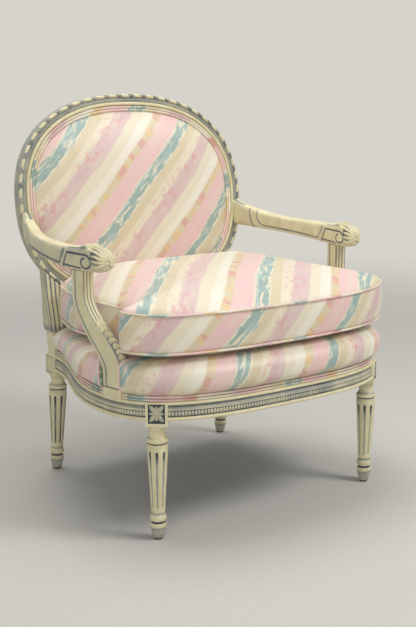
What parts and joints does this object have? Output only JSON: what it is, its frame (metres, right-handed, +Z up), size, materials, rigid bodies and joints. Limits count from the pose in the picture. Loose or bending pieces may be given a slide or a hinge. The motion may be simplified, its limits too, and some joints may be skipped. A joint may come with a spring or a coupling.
{
  "type": "bergere armchair",
  "caption": "Open-arm bergere chair: moulded oval back frame, scrolled arms on swept posts, fluted tapered legs, sprung bowed seat and a loose T-shaped cushion that lifts off.",
  "frame": {"origin": "centre of the chair's bounding box on the floor plane under the four feet", "axes": "+Z up, -Y the way the chair faces, +X to the right of someone looking at its front"},
  "size_m": [0.7264, 0.6435, 0.865],
  "materials": {
    "antiqued_cream_paint": "cream paint, rubbed, with a blue-grey glaze in the hollows",
    "bare_beech": "sawn, unfinished",
    "striped_satin": "satin weave with pastel slanting stripes over filling",
    "welting": "cord covered in the same satin",
    "jute_webbing": "woven jute",
    "burlap": "open jute weave",
    "spring_steel": "drawn wire",
    "black_cambric": "thin unwoven dust cloth",
    "glide_nylon": "moulded"
  },
  "bodies": {
    "frame": {"front_leg_left": "antiqued_cream_paint", "front_leg_right": "antiqued_cream_paint", "rear_leg_left": "antiqued_cream_paint", "rear_leg_right": "antiqued_cream_paint", "front_seat_rail": "antiqued_cream_paint", "side_seat_rail_left": "antiqued_cream_paint", "side_seat_rail_right": "antiqued_cream_paint", "back_seat_rail": "antiqued_cream_paint", "arm_post_left": "antiqued_cream_paint", "arm_post_right": "antiqued_cream_paint", "arm_left": "antiqued_cream_paint", "arm_right": "antiqued_cream_paint", "crest_rail": "antiqued_cream_paint", "back_stile_left": "antiqued_cream_paint", "back_stile_right": "antiqued_cream_paint", "lower_back_rail": "antiqued_cream_paint", "front_corner_block_left": "bare_beech", "front_corner_block_right": "bare_beech", "rear_corner_block_left": "bare_beech", "rear_corner_block_right": "bare_beech", "back_pad": "striped_satin", "outside_back": "striped_satin", "deck_pad": "striped_satin", "front_border": "striped_satin", "side_border_left": "striped_satin", "side_border_right": "striped_satin", "rear_border": "striped_satin", "front_rail_welt": "welting", "side_rail_welt_left": "welting", "side_rail_welt_right": "welting", "inside_back_welt": "welting", "outside_back_welt": "welting", "seat_webbing_left": "jute_webbing", "seat_webbing_middle": "jute_webbing", "seat_webbing_right": "jute_webbing", "cross_webbing_1": "jute_webbing", "cross_webbing_2": "jute_webbing", "cross_webbing_3": "jute_webbing", "back_webbing_left": "jute_webbing", "back_webbing_middle": "jute_webbing", "back_webbing_right": "jute_webbing", "back_cross_webbing_lower": "jute_webbing", "back_cross_webbing_upper": "jute_webbing", "seat_burlap": "burlap", "back_burlap": "burlap", "seat_spring_1": "spring_steel", "seat_spring_2": "spring_steel", "seat_spring_3": "spring_steel", "seat_spring_4": "spring_steel", "seat_spring_5": "spring_steel", "dust_cover": "black_cambric", "front_glide_left": "glide_nylon", "front_glide_right": "glide_nylon", "rear_glide_left": "glide_nylon", "rear_glide_right": "glide_nylon"},
    "cushion": {"seat_cushion": "striped_satin", "cushion_welt_top": "welting", "cushion_welt_bottom": "welting"}
  },
  "joints": [
    {"name": "cushion_lift", "type": "slide", "parent": "frame", "child": "cushion", "axis": [0, 0, 1], "range_m": [0, 0.23]}
  ]
}
